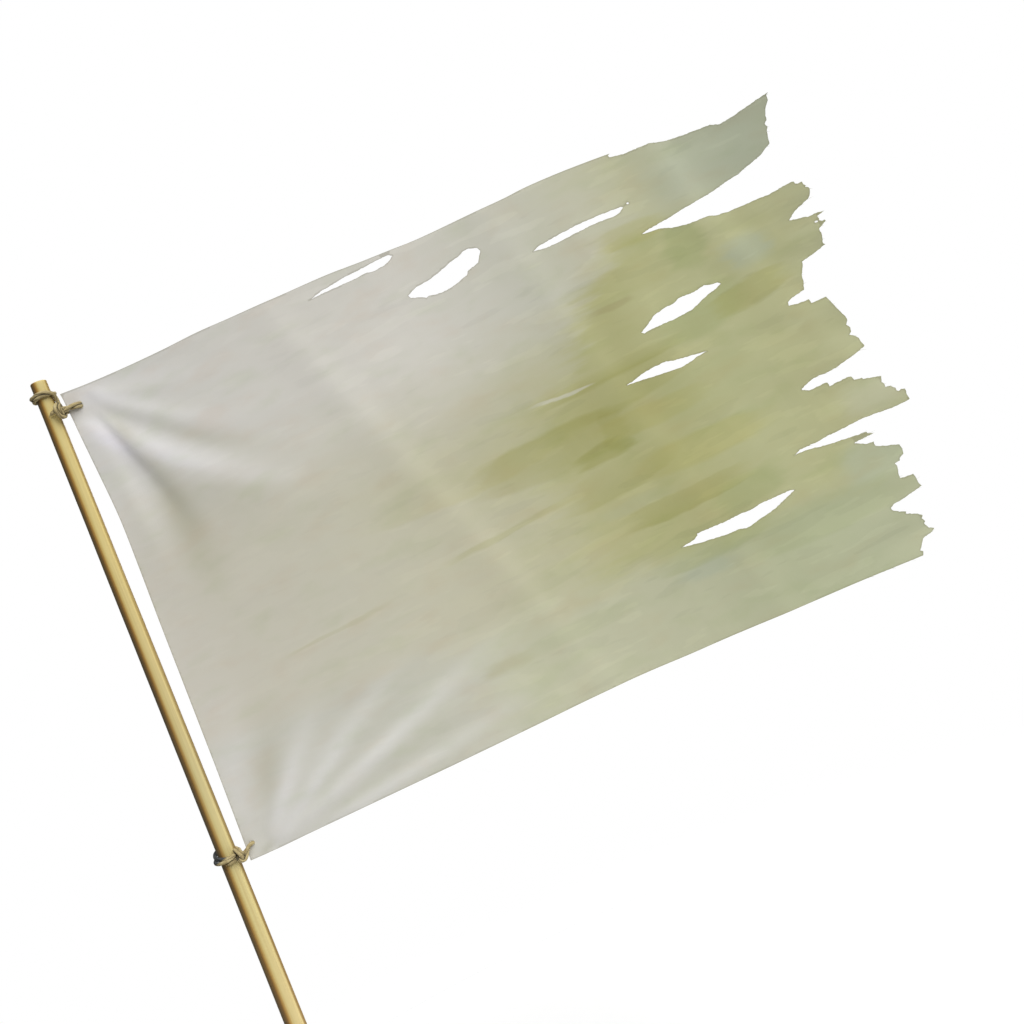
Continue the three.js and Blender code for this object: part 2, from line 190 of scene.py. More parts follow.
# Painted highlights along the fold crests and painted shade in the hollows and wave troughs,
# listed in the same way with the change of tone for the height
PAINTED_FOLD_LIGHT = [
    ([(30, 0), (80, 80), (170, 170)], 0.15, (7, 10), 1, 1),
    ([(20, -6), (121, 66), (320, 190)], 0.13, (5, 8), 1, 1),
    ([(84, 52), (170, 112), (300, 184)], 0.08, (7, 8), 1, 1),
    ([(10, -10), (171, 55), (470, 172)], 0.11, (6, 10), 1, 1),
    ([(120, 34), (270, 96), (440, 155)], 0.09, (8, 9), 1, 1),
    ([(60, 0), (231, 22), (470, 84)], 0.16, (5, 8), 1, 1),
    ([(14, -2), (32, 9), (50, 17)], -0.14, (3, 4), 1, 1),
    ([(14, 20), (20, 130), (80, 260)], 0.06, (8, 20), 1, 1),
    ([(24, 530), (30, 430), (40, 330)], -0.05, (8, 11), 1, 1),
    ([(38, 44), (74, 108), (108, 200)], -0.11, (9, 19), 1, 1),
    ([(66, 480), (88, 400), (90, 290)], -0.19, (8, 22), 1, 1),
    ([(36, 575), (68, 500), (114, 376)], -0.14, (6, 9), 0.8, 1),
    ([(48, 545), (57, 520), (68, 492)], -0.07, (4, 4), 1, 1),
    ([(86, 536), (142, 467), (262, 440)], -0.12, (6, 9), 1, 1),
    ([(90, 550), (136, 528), (190, 515)], -0.06, (5, 7), 1, 1),
    ([(86, 452), (140, 412), (260, 385)], -0.06, (9, 14), 3, 0.4),
    ([(14, 566), (36, 520), (88, 442)], 0.13, (9, 13), 0.7, 1.2),
    ([(0, 552), (90, 478), (256, 368)], 0.14, (10, 13), 0.5, 1.2),
    ([(150, 440), (205, 412), (275, 380)], 0.05, (9, 10), 0.6, 1.1),
    ([(14, 592), (44, 578), (84, 562)], 0.09, (8, 9), 1, 1),
    ([(30, 592), (110, 530), (230, 484)], 0.07, (5, 11), 1.6, 1),
    ([(40, 596), (110, 584), (215, 548)], 0.04, (4, 9), 1, 1),
    ([(600, 600), (660, 360), (710, 0)], -0.05, (18, 18), 1, 1),
    ([(650, 560), (720, 350), (790, 150)], 0.04, (16, 16), 1, 1),
    ([(735, 600), (800, 400), (850, 250)], -0.05, (14, 14), 1, 1),
    ([(760, 660), (815, 400), (900, 160)], 0.05, (15, 18), 1, 1),
]
CALM = (7, 26)                     # the cloth lies flat at each tie, and free this far off
FLY, HOIST = 940, 624
# Flutter waves lean away from the pole towards their lower ends
WAVE_LEAN = 0.36
WAVE_LENGTH, WAVE_CREST, WAVE_HEIGHT = 520, 150, 9
CURL = 3.5                         # how far the loose tongues stray from the waves
CURL_FROM = 620                    # where along the fly they begin to
CURL_SIZE = (130, 34)              # of one curl, along the fly and up

# ---- the ties, as in the CAD model ------------------------------------------------------
# Turns round the pole are [degrees from the face, z, stand-off]; other strands [x, y, z].
# The eye is [x, z, radius, half the slot], and the last entry is the height above which painted
# shade begins on the cord's upper left
CORD = 4.8
CORD_GAP = 0.3
TIES = {
    "tie_top": {
        "turns": [
            (84, 1160, 2.4), (92, 1166, 1), (104, 1171.5, 0.2), (125, 1175, 0),
            (150, 1176.8, 0), (180, 1177.6, 0), (225, 1177.8, 0), (270, 1178.2, 0),
            (315, 1179.3, 0), (360, 1180.2, 0), (405, 1180.5, 0), (440, 1180.2, 0),
            (470, 1181.2, 0), (500, 1182, 0), (540, 1182.8, 0), (585, 1182.6, 0.8),
            (630, 1182.2, 1.8), (675, 1183, 0.8), (710, 1183.8, 0.4), (740, 1183.4, 1.4),
            (765, 1181.6, 2.4), (785, 1178.4, 2), (797, 1174, 1.2), (802, 1169.4, 1),
            (798, 1165, 1.6)],
        "strands": [
            [(14.5, -12, 1166.5), (11.6, -15.6, 1161.5), (12.4, -16.6, 1155),
             (14.6, -13.6, 1149), (17, -8.5, 1148.5), (17.6, -4, 1152.5)],
            [(3.4, -14, 1155.6), (7.4, -13.8, 1157.6), (11, -12, 1158.4), (15.5, -9, 1157)],
            [(13.4, -10.4, 1158.8), (17, -7.4, 1158.6), (22, -4.4, 1157.6),
             (28, -3.7, 1156), (33.9, -3.7, 1155.2), (36.5, -2.6, 1155.2),
             (37.6, 0, 1155.2), (36.5, 2.6, 1155.2), (33.9, 3.7, 1155.2), (26, 3.8, 1155),
             (19, 2.6, 1154.4), (15.8, -1.6, 1153.8)],
            [(12.5, -11, 1155), (17, -8.4, 1154.4), (21.5, -8, 1155.4),
             (26.5, -7.6, 1157.4), (31, -5.6, 1158.4), (34.4, -4, 1158.2),
             (36.6, -2.5, 1157.8), (37.6, 0, 1157.8), (36.6, 2.6, 1158.4), (34, 3.7, 1159),
             (26, 3.8, 1159.6), (19, 2.6, 1159.6), (15.8, -1.6, 1160)],
            [(16.5, -9, 1166), (15.6, -12.6, 1161), (16, -12.4, 1155), (16.5, -9, 1150)]],
        "free_end": 1,
        "eye": (37.1, 1156.3, 3.4, 1.7),
        "soot": 1186,
    },
    "tie_bottom": {
        "turns": [
            (68, 591, 3.2), (84, 592.4, 0.6), (105, 593.8, 0), (140, 596, 0),
            (180, 598.8, 0), (220, 600.6, 0), (245, 600.8, 0), (262, 599.6, 0),
            (280, 597.6, 0), (300, 595.8, 0), (330, 593.6, 0), (360, 592.2, 0),
            (390, 591.8, 0), (420, 590.8, 0), (440, 589.8, 0), (462, 589, 0),
            (500, 589.2, 0), (540, 590.4, 0), (590, 592.2, 0), (630, 593, 0.4),
            (655, 591.8, 2.2), (680, 590.4, 4), (705, 589.8, 4.8), (730, 590.6, 4.8),
            (750, 592.4, 4.2), (762, 593.4, 3.4)],
        "strands": [
            [(11.4, -11.6, 599), (14.4, -14, 595.4), (17.4, -13.8, 590.8),
             (18, -10.6, 586), (16.4, -8, 583.4)],
            [(-1, -15.2, 585.6), (3.4, -15.4, 586.4), (8, -14.4, 587.2), (12.5, -12.2, 588)],
            [(12.6, -12.4, 588.4), (14.6, -12, 584.2), (18.4, -9.6, 582.2),
             (21.4, -7, 584.6), (23.6, -5, 589), (26.2, -4, 593), (29.3, -3.7, 595.6),
             (31.9, -2.6, 596.2), (33, 0, 596.4), (31.9, 2.6, 596), (29.3, 3.7, 595.2),
             (25.4, 3.9, 592.6), (21.4, 3.6, 590), (17.8, -0.4, 588.8),
             (16.2, -5, 588.8)],
            [(14.4, -8, 598), (17.4, -9, 594), (18.8, -8, 589), (17.6, -5.6, 584.4)]],
        "free_end": 1,
        "eye": (32.3, 596.2, 3.5, 0.2),
        "soot": 590.5,
    },
}
CORD_STEP = 0.8                    # length of a facet along a cord
CORD_SIDES = 28
CORD_RADIUS = 2.5                  # over the crowns of its two plies
GROOVE = 0.3                       # share of the radius that the groove between them takes
PLY_PITCH = 46                     # length of one turn of the plies
FIBRES = 14                        # in the brush at a free end
FIBRE_RADIUS, FIBRE_REACH = 0.32, (2.0, 4.2)
THIN_SIDES = 5                     # of a fibre or a loose thread
SHADE_NEAR_STRAND = (3.7, 2.7)                 # from another strand's middle, where painted shade begins and ends
SHADE_NEAR_POLE = (1.2, 0.2)            # and from the pole's surface
NEIGHBOUR = 9                      # along a strand, how near two places have no painted shade between
LEFT_SHADE = (7, 16)                     # how far to the left the painted shade begins, and is black
LEFT_SHADE_RISE = 4                      # how far 1 mm up counts as to the left
LEFT_SHADE_END = (0, 7)                  # to the right of the pole's axis, where it ends

# ---- loose threads at the torn fly ------------------------------------------------------
THREADS = 150
THREADS_FROM = 800                 # they stand out of the edges beyond this x
THREAD_RADIUS, THREAD_LENGTH = 0.16, (1.5, 5)
LONG_SHARE = 0.1                   # of the threads is twice as long

# ---- the view ---------------------------------------------------------------------------
ROLL = math.radians(21.89)         # the pole leans this far to the left, as it is seen
VIEW_WIDTH = 1218.6 * MM           # what the square picture takes in at the flag
AIM = Vector((0.4659, 0, POLE_HIGH.z - 0.3536))
LENS, SENSOR = 50, 36
FLOOR_RADIUS, FLOOR_FADE = 1.8, (0.5, 1.7)


# ---- node trees -------------------------------------------------------------------------
def srgb(red, green, blue):
    """An 8-bit screen colour as the linear colour that a socket takes."""
    def linear(value):
        value /= 255
        return value / 12.92 if value <= 0.04045 else ((value + 0.055) / 1.055) ** 2.4
    return linear(red), linear(green), linear(blue), 1


class Surface:
    """A Principled material whose nodes are written as nested calls."""

    def __init__(self, name, roughness, **sockets):
        self.material = bpy.data.materials.new(name)
        self.material.use_nodes = True
        self.nodes = self.material.node_tree.nodes
        self.links = self.material.node_tree.links
        self.shader = self.nodes["Principled BSDF"]
        self.shader.inputs["Roughness"].default_value = roughness
        for socket, value in sockets.items():
            self.shader.inputs[socket.replace("_", " ")].default_value = value
        self.place = self.add("ShaderNodeTexCoord").outputs["Object"]

    def add(self, kind, inputs=(), **settings):
        node = self.nodes.new(kind)
        for key, value in settings.items():
            setattr(node, key, value)
        for key, value in dict(inputs).items():
            if isinstance(value, bpy.types.NodeSocket):
                self.links.new(value, node.inputs[key])
            else:
                node.inputs[key].default_value = value
        return node

    def maths(self, operation, *values):
        return self.add("ShaderNodeMath", enumerate(values), operation=operation).outputs[0]

    def attribute(self, name):
        """A value that the mesh holds at each point."""
        return self.add("ShaderNodeAttribute", attribute_name=name).outputs["Fac"]

    def stretched(self, scale, centre=(0, 0, 0), tilt=0.0, vector=None):
        """Coordinates in which a blob of that half size, centre and tilt is a unit ball."""
        return self.add("ShaderNodeMapping", {
            "Vector": vector or self.place, "Location": centre, "Scale": scale,
            "Rotation": (0, -math.radians(tilt), 0)}, vector_type="TEXTURE").outputs[0]

    def noise(self, vector, scale=1.0, detail=3.0, roughness=0.5):
        return self.add("ShaderNodeTexNoise", {
            "Vector": vector, "Scale": scale, "Detail": detail,
            "Roughness": roughness}).outputs["Fac"]

    def step(self, value, start, end, low=0.0, high=1.0):
        """A soft step of value, from low at start to high at end."""
        return self.add("ShaderNodeMapRange", {
            "Value": value, "From Min": start, "From Max": end, "To Min": low,
            "To Max": high}, interpolation_type="SMOOTHSTEP").outputs["Result"]

    def mix(self, amount, first, second, blend="MIX"):
        node = self.add("ShaderNodeMix", data_type="RGBA", blend_type=blend)
        for socket, value in ((node.inputs[0], amount), (node.inputs[6], first),
                              (node.inputs[7], second)):
            if isinstance(value, bpy.types.NodeSocket):
                self.links.new(value, socket)
            else:
                socket.default_value = value
        return node.outputs[2]

    def ramp(self, value, stops):
        node = self.add("ShaderNodeValToRGB", {"Fac": value})
        elements = node.color_ramp.elements
        while len(elements) < len(stops):
            elements.new(0.5)
        for element, (position, colour) in zip(elements, stops):
            element.position = position
            element.color = srgb(*colour)
        return node.outputs["Color"]

    def finish(self, colour, height=None, strength=0.3, distance=0.0003, roughness=None):
        self.links.new(colour, self.shader.inputs["Base Color"])
        if height is not None:
            bump = self.add("ShaderNodeBump", {
                "Height": height, "Strength": strength, "Distance": distance})
            self.links.new(bump.outputs["Normal"], self.shader.inputs["Normal"])
        if roughness is not None:
            self.links.new(roughness, self.shader.inputs["Roughness"])
        return self.material


# ---- materials --------------------------------------------------------------------------
# Colours along the fly, at shares of one metre: in the cleaner strip above, down the dirty
# middle, and in the strip below
ABOVE = [(0.03, (213, 211, 206)), (0.12, (208, 206, 199)), (0.30, (211, 208, 199)),
         (0.44, (219, 216, 206)), (0.58, (205, 204, 188)), (0.68, (198, 197, 173)),
         (0.74, (189, 189, 156)), (0.80, (188, 190, 162)), (0.87, (177, 180, 154)),
         (0.95, (174, 178, 153))]
MIDDLE = [(0.03, (202, 198, 186)), (0.10, (198, 194, 179)), (0.24, (197, 194, 176)),
          (0.42, (194, 191, 165)), (0.50, (191, 189, 155)), (0.56, (185, 183, 137)),
          (0.66, (181, 180, 130)), (0.78, (181, 182, 138)), (0.86, (178, 178, 134)),
          (0.93, (182, 183, 143))]
BELOW = [(0.03, (202, 200, 191)), (0.20, (194, 193, 180)), (0.33, (195, 194, 178)),
         (0.43, (191, 191, 164)), (0.62, (187, 188, 158)), (0.75, (179, 183, 149)),
         (0.85, (177, 181, 149)), (0.95, (180, 182, 151))]
OLIVE = srgb(154, 153, 78)
MOSS = srgb(146, 157, 100)
YELLOW = srgb(172, 168, 92)
BROWN = srgb(150, 136, 92)
PALE = srgb(212, 211, 196)
GREY = srgb(168, 178, 158)
PINK = srgb(250, 240, 232)         # tints that the cloth's own colour shades towards
MINT = srgb(236, 243, 226)
STROKE = 4                         # tilt of the washes and strokes, in degrees
BEND = 0.35                        # how much a stain narrows towards its two ends
# x, z, half length, half height, tilt, colour, strength and softness of each stain, and how
# much weaker it is at its lower edge than at its upper one (or below zero, at its upper one)
STAINS = [
    (545, 893, 112, 27, 3, OLIVE, 0.5, 0.12, 0.5),
    (592, 871, 38, 11, 6, OLIVE, 0.5, 0.25, 0),
    (617, 890, 16, 27, 0, OLIVE, 0.25, 0.2, 0),
    (640, 957, 102, 9, 5, OLIVE, 0.5, 0.25, -0.8),
    (640, 932, 90, 20, 6, OLIVE, 0.34, 0.15, -0.5),
    (722, 1064, 78, 30, 3, OLIVE, 0.08, 0.1, 0.3),
    (775, 1064, 30, 28, 0, MOSS, 0.35, 0.25, 0),
    (668, 1029, 28, 4, 3, BROWN, 0.3, 0.5, 0),
    (720, 1101, 46, 14, 2, YELLOW, 0.4, 0.2, -0.4),
    (664, 784, 84, 13, 4, OLIVE, 0.5, 0.12, -0.5),
    (735, 766, 50, 17, 6, MOSS, 0.32, 0.35, 0),
    (665, 727, 74, 23, 4, MOSS, 0.34, 0.12, -0.6),
    (604, 838, 78, 20, 10, OLIVE, 0.32, 0.12, -0.8),
    (705, 836, 92, 18, 2, YELLOW, 0.34, 0.2, 0),
    (664, 893, 74, 14, 2, YELLOW, 0.3, 0.2, 0),
    (762, 984, 62, 27, 8, MOSS, 0.34, 0.2, 0),
    (828, 985, 56, 16, 8, OLIVE, 0.4, 0.15, 0),
    (740, 900, 70, 30, 6, MOSS, 0.16, 0.2, 0.5),
    (574, 951, 42, 2, -1, PALE, 0.6, 0.5, 0),
    (440, 918, 150, 36, 4, YELLOW, 0.18, 0.06, -0.9),
    (450, 826, 88, 4, 6, OLIVE, 0.26, 0.5, 0),
    (223, 793, 72, 3, 6, OLIVE, 0.18, 0.5, 0),
    (470, 756, 70, 12, 5, MOSS, 0.14, 0.2, -0.6),
    (394, 680, 34, 8, 3, OLIVE, 0.2, 0.5, 0),
    (500, 688, 80, 10, 3, MOSS, 0.14, 0.3, 0),
    (843, 1033, 34, 17, 6, GREY, 0.5, 0.6, 0),
    (657, 697, 40, 9, 4, GREY, 0.4, 0.6, 0),
    (840, 1150, 84, 34, 4, GREY, 0.32, 0.7, 0),
    (810, 704, 130, 22, 2, MOSS, 0.22, 0.2, -0.3),
    (600, 800, 52, 8, 2, GREY, 0.15, 0.5, 0),
    (895, 744, 52, 26, 0, GREY, 0.45, 0.5, 0),
    (925, 818, 50, 20, 4, PALE, 0.2, 0.6, 0),
]

# Colours across the pole from left to right, darkened to brown on the left by painted shade,
# with a painted highlight and a painted dark rim on the right, and tints from butt to top
WOOD_AND_PAINTED_SHADE = [(0.0, (160, 150, 132)), (0.1, (110, 95, 66)), (0.2, (110, 90, 55)),
        (0.3, (132, 99, 51)), (0.4, (177, 135, 66)), (0.5, (206, 181, 111)),
        (0.62, (211, 193, 130)), (0.84, (212, 193, 132)), (0.9, (230, 209, 141)),
        (0.95, (198, 174, 110)), (1.0, (152, 116, 54))]
AGEING = [(0.42, (247, 247, 255)), (0.52, (246, 250, 255)), (0.70, (237, 242, 255)),
          (0.86, (245, 245, 248)), (1.0, (255, 255, 250))]


def layers(s, vector, count=5, **settings):
    """Noise in flat layers with crisp edges, as one wash of dirty water over another."""
    value = s.maths("MULTIPLY", s.noise(vector, **settings), count)
    edge = s.step(s.maths("FRACT", value), 0.8, 1.0)
    return s.maths("DIVIDE", s.maths("ADD", s.maths("FLOOR", value), edge), count)


def cloth_material():
    s = Surface("tattered_cloth", 0.92, Sheen_Weight=0.12, Sheen_Roughness=0.6)
    axes = s.add("ShaderNodeSeparateXYZ", {"Vector": s.place}).outputs
    brush = s.noise(s.stretched((0.14, 1, 0.022), tilt=STROKE), detail=4, roughness=0.6)
    wash = s.noise(s.stretched((0.12, 1, 0.03), tilt=STROKE, centre=(0.3, 0, 0.2)), detail=3)
    along = s.maths("ADD", axes[0], s.maths("MULTIPLY_ADD", brush, 0.12, -0.06))
    up = s.maths("ADD", axes[2], s.maths("MULTIPLY_ADD", wash, 0.06, -0.03))
    # Where the cleaner strip above meets the dirty middle, and how gradually
    border = s.step(along, 0.57, 0.7, 1.0, 1.10)
    blur = s.step(along, 0.55, 0.7, 0.08, 0.025)
    over = s.step(s.maths("DIVIDE", s.maths("SUBTRACT", up, border), blur), -1, 1)
    colour = s.mix(over, s.ramp(along, MIDDLE), s.ramp(along, ABOVE))
    colour = s.mix(s.step(up, 0.745, 0.7), colour, s.ramp(along, BELOW))
    # Places pushed about by noise, so that the stains have ragged edges
    ragged = s.add("ShaderNodeVectorMath", {
        0: s.add("ShaderNodeTexNoise", {
            "Vector": s.stretched((0.05, 1, 0.012), tilt=STROKE), "Scale": 1.0,
            "Detail": 3.0}).outputs["Color"], 1: (0.5, 0.5, 0.5)}, operation="SUBTRACT")
    ragged = s.add("ShaderNodeVectorMath", {
        0: ragged.outputs[0], 1: (0.04, 0, 0.009)}, operation="MULTIPLY_ADD")
    s.links.new(s.place, ragged.inputs[2])
    for x, z, length, height, tilt, tone, strength, soft, fade in STAINS:
        blob = s.stretched((length * MM, 1, height * MM), (x * MM, 0, z * MM), tilt,
                           ragged.outputs[0])
        ahead, _, level = s.add("ShaderNodeSeparateXYZ", {"Vector": blob}).outputs
        bend = s.maths("MULTIPLY", s.maths("MULTIPLY", ahead, ahead), BEND)
        reach = s.maths("ADD", bend, s.maths("ABSOLUTE", level))
        amount = s.maths("MULTIPLY", s.step(reach, 1 + soft, 1 - soft, 0.0, strength),
                         s.step(s.maths("ABSOLUTE", ahead), 1.2, 0.5))
        if fade:
            amount = s.maths("MULTIPLY", amount, s.maths(
                "MULTIPLY_ADD", level, fade / 2, 1 - abs(fade) / 2))
        colour = s.mix(amount, colour, tone)
    hue = s.noise(s.stretched((0.07, 1, 0.03), tilt=STROKE, centre=(0.1, 0, 0.7)), detail=3)
    colour = s.mix(s.step(hue, 0.5, 0.75, 0, 0.4), colour, PINK, "MULTIPLY")
    colour = s.mix(s.step(hue, 0.5, 0.25, 0, 0.4), colour, MINT, "MULTIPLY")
    # Washes in flat layers over it all, stronger towards the fly
    strokes = layers(s, s.stretched((0.11, 1, 0.02), tilt=STROKE, centre=(0.5, 0, 0.1)), detail=3)
    runs = layers(s, s.stretched((0.3, 1, 0.06), tilt=-70, centre=(0.2, 0, 0.4)), detail=2)
    layered = s.maths("SUBTRACT", s.maths("MULTIPLY_ADD", runs, 0.3, strokes), 0.65)
    layered = s.maths("MULTIPLY", layered, s.step(axes[0], 0.1, 0.65, 0.08, 0.24))
    # Painted highlights on the crests lose their yellow, and painted shade in the hollows gains
    # some
    folds = s.attribute("tone")
    tone = s.maths("ADD", s.maths("MULTIPLY_ADD", brush, 0.06, 0.99), layered)
    tone = s.maths("MULTIPLY", tone, folds)
    olive = s.maths("MULTIPLY", tone, s.maths("MULTIPLY_ADD", folds, 0.5, 0.5))
    colour = s.mix(1.0, colour, s.add("ShaderNodeCombineColor", {
        0: tone, 1: tone, 2: olive}).outputs[0], "MULTIPLY")
    edge = s.attribute("edge")
    colour = s.mix(s.step(edge, 0.5, 1.0, 0, 0.35), colour, srgb(122, 118, 90))
    warp = s.noise(s.stretched((0.0007, 1, 0.02)), detail=2)
    weft = s.noise(s.stretched((0.02, 1, 0.0007)), detail=2)
    height = s.maths("ADD", warp, weft)
    return s.finish(colour, height, 0.25, 0.0002)


def pole_material():
    """Pale straw wood, with painted shade down its left side and a painted highlight and dark rim
    at its right.
    """
    s = Surface("old_pole_wood", 0.55, Specular_IOR_Level=0.35)
    axes = s.add("ShaderNodeSeparateXYZ", {"Vector": s.place}).outputs
    grain = s.noise(s.stretched((0.0016, 0.0016, 0.16)), detail=5, roughness=0.6)
    streak = s.noise(s.stretched((0.003, 0.003, 0.5), centre=(0.3, 0.1, 0)), detail=2)
    # Across the pole: -1 at its left side, which painted shade darkens, and 1 at its right side
    side = s.maths("DIVIDE", axes[0], s.maths(
        "MULTIPLY_ADD", axes[2], (TOP_RADIUS - BUTT_RADIUS) / POLE_LENGTH, BUTT_RADIUS * MM))
    side = s.maths("ADD", side, s.maths("MULTIPLY_ADD", streak, 0.3, -0.15))
    # The wood's colour, with painted shade down its left side and a painted highlight and dark
    # rim at its right
    across = s.ramp(s.maths("MULTIPLY_ADD", side, 0.5, 0.5), WOOD_AND_PAINTED_SHADE)
    aged = s.ramp(axes[2], AGEING)
    colour = s.mix(1.0, across, aged, "MULTIPLY")
    colour = s.mix(s.step(grain, 0.45, 0.8, 0, 0.3), colour, srgb(160, 128, 70))
    rings = s.add("ShaderNodeTexWave", {
        "Vector": s.place, "Scale": 60.0, "Distortion": 2.0, "Detail": 2.0},
        wave_type="RINGS", rings_direction="Z").outputs["Fac"]
    at_end = s.step(axes[2], POLE_LENGTH * MM - 0.0008, POLE_LENGTH * MM - 0.0001)
    end_grain = s.mix(s.maths("MULTIPLY", rings, 0.35), srgb(222, 200, 148),
                      srgb(176, 142, 92))
    colour = s.mix(at_end, colour, end_grain)
    return s.finish(colour, grain, 0.15, 0.0002)


def cord_material():
    """Straw-coloured cord with painted shade between its plies, against other strands and the
    pole, and on its upper left.
    """
    s = Surface("old_tie_cord", 0.85)
    fibre = s.noise(s.place, scale=900, detail=2)
    dirt = s.noise(s.place, scale=140, detail=3)
    groove = s.attribute("groove")
    grime = s.attribute("grime")
    soot = s.attribute("soot")
    colour = s.ramp(dirt, [(0.3, (142, 126, 86)), (0.52, (178, 161, 115)),
                           (0.72, (194, 179, 133))])
    # Painted shade down the cord's upper left side
    colour = s.mix(soot, colour, srgb(60, 64, 66))
    # Painted shade in the grooves between the plies
    colour = s.mix(s.step(groove, 0.3, 0.9, 0, 0.7), colour, srgb(52, 47, 36))
    # Painted shade where strands lie against each other and against the pole
    colour = s.mix(s.maths("MULTIPLY", grime, 0.85), colour, srgb(46, 42, 33))
    colour = s.mix(s.step(fibre, 0.5, 0.8, 0, 0.25), colour, srgb(120, 104, 70))
    return s.finish(colour, fibre, 0.5, 0.0004)


# ---- meshes -----------------------------------------------------------------------------
def add_piece(name, points, faces, material, slot, replaced=(), sharp=None, **values):
    """A new object of the given points, in millimetres, riding on the one body.

    Each further keyword is an attribute that the material reads, with a value for each point.
    """
    mesh = bpy.data.meshes.new(name)
    mesh.from_pydata([tuple(p) for p in np.asarray(points) * MM], [], faces)
    mesh.polygons.foreach_set("use_smooth", [True] * len(mesh.polygons))
    if sharp is not None:
        mesh.set_sharp_from_angle(angle=math.radians(sharp))
    mesh.materials.append(material)
    for attribute, numbers in values.items():
        mesh.attributes.new(attribute, "FLOAT", "POINT").data.foreach_set("value", numbers)
    piece = bpy.data.objects.new(name, mesh)
    bpy.context.scene.collection.objects.link(piece)
    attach(piece, ROOT)
    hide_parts(*replaced)
    return piece


def tube_faces(rings, sides):
    """The faces of a closed tube of that many rings, with flat ends."""
    faces = []
    for i in range(rings - 1):
        for k in range(sides):
            a, b = i * sides + k, i * sides + (k + 1) % sides
            faces.append((a, b, b + sides, a + sides))
    faces.append(tuple(reversed(range(sides))))
    faces.append(tuple((rings - 1) * sides + k for k in range(sides)))
    return faces


def spline(points, step):
    """Points a step apart along a smooth curve through the given ones."""
    points = np.array(points, float)
    gaps = np.linalg.norm(np.diff(points, axis=0), axis=1)
    knots = np.concatenate([[0], np.cumsum(np.sqrt(gaps))])
    slopes = np.gradient(points, knots, axis=0)
    curve = []
    for i, gap in enumerate(gaps):
        span = knots[i + 1] - knots[i]
        t = np.linspace(0, 1, max(2, math.ceil(gap / step) + 1))[:-1, None]
        curve.append((2 * t ** 3 - 3 * t ** 2 + 1) * points[i]
                     + (t ** 3 - 2 * t ** 2 + t) * span * slopes[i]
                     + (3 * t ** 2 - 2 * t ** 3) * points[i + 1]
                     + (t ** 3 - t ** 2) * span * slopes[i + 1])
    return np.vstack([*curve, points[-1:]])


def tear(points, rng, closed=False):
    """A torn edge from corner to corner, with the small bites of broken threads."""
    corners = np.array([*points, points[0]] if closed else points, float)
    edge = []
    for start, end in zip(corners, corners[1:]):
        way = end - start
        count = max(1, round(float(np.linalg.norm(way)) / EDGE_STEP))
        across = np.array([-way[1], way[0]]) / np.linalg.norm(way)
        for i in range(count):
            bite = rng.uniform(-FRAY, FRAY) if i else 0
            edge.append(start + way * i / count + across * bite)
    return np.array(edge)


# ---- the flag ---------------------------------------------------------------------------
def smoothstep(value, low, high):
    t = np.clip((value - low) / (high - low), 0, 1)
    return t * t * (3 - 2 * t)


def ridge_height(u, v, at, height, width, right, left):
    """How high one ridge stands at the cloth's points [u, v]."""
    t = np.linspace(0, 1, 33)
    a, b, c = (np.array(p, float) for p in at)
    curve = np.outer((1 - t) ** 2, a) + np.outer(2 * t * (1 - t), b) + np.outer(t ** 2, c)
    ways = np.diff(curve, axis=0)
    off_u, off_v = u[:, None] - curve[:-1, 0], v[:, None] - curve[:-1, 1]
    share = np.clip((off_u * ways[:, 0] + off_v * ways[:, 1]) / (ways ** 2).sum(1), 0, 1)
    gaps = np.hypot(off_u - share * ways[:, 0], off_v - share * ways[:, 1])
    best = np.arange(len(u)), gaps.argmin(1)
    nearest = (best[1] + share[best]) / len(ways)
    on_left = ways[best[1], 0] * off_v[best] - ways[best[1], 1] * off_u[best] > 0
    spread = (width[0] + (width[1] - width[0]) * nearest) * np.where(on_left, left, right)
    rise = np.sin(np.pi * nearest ** 0.7) ** 2
    return height * rise * np.exp(-0.5 * (gaps[best] / spread) ** 2)


def fold_depth(x, z):
    """How far the cloth lies behind the plane of the pole's axis, at points of the face."""
    u, v = x - FLAG_X, z - FLAG_Z
    along = u + WAVE_LEAN * (v - HOIST / 2)
    wave = (-WAVE_HEIGHT * smoothstep(u, 60, FLY)
            * np.cos(2 * np.pi * (along - WAVE_CREST) / WAVE_LENGTH))
    ridges = sum(ridge_height(u, v, *ridge) for ridge in RIDGES)
    stray = np.array([noise.noise(Vector((a / CURL_SIZE[0], b / CURL_SIZE[1], 3.7)))
                      for a, b in zip(u, v)])
    curl = CURL * smoothstep(u, CURL_FROM, FLY) * stray
    calm = 1
    for tie in TIES.values():
        eye_x, eye_z = tie["eye"][:2]
        calm = calm * smoothstep(np.hypot(np.maximum(0, x - eye_x), z - eye_z), *CALM)
    return calm * (wave - ridges + curl)


def painted_fold_light(x, z):
    """How much painted highlight or painted shade lies on each point of the cloth, as a factor on
    its colour.
    """
    u, v = x - FLAG_X, z - FLAG_Z
    return 1 + sum(ridge_height(u, v, *streak) for streak in PAINTED_FOLD_LIGHT)


def oval(x, z, half_width, half_height, slot=0, count=9):
    """A hole in the cloth: an oval whose two halves lie that slot above and below z."""
    turns = [2 * math.pi * i / count for i in range(count)]
    return np.array([(x + half_width * math.cos(a),
                      z + half_height * math.sin(a) + math.copysign(slot, math.sin(a)))
                     for a in turns])


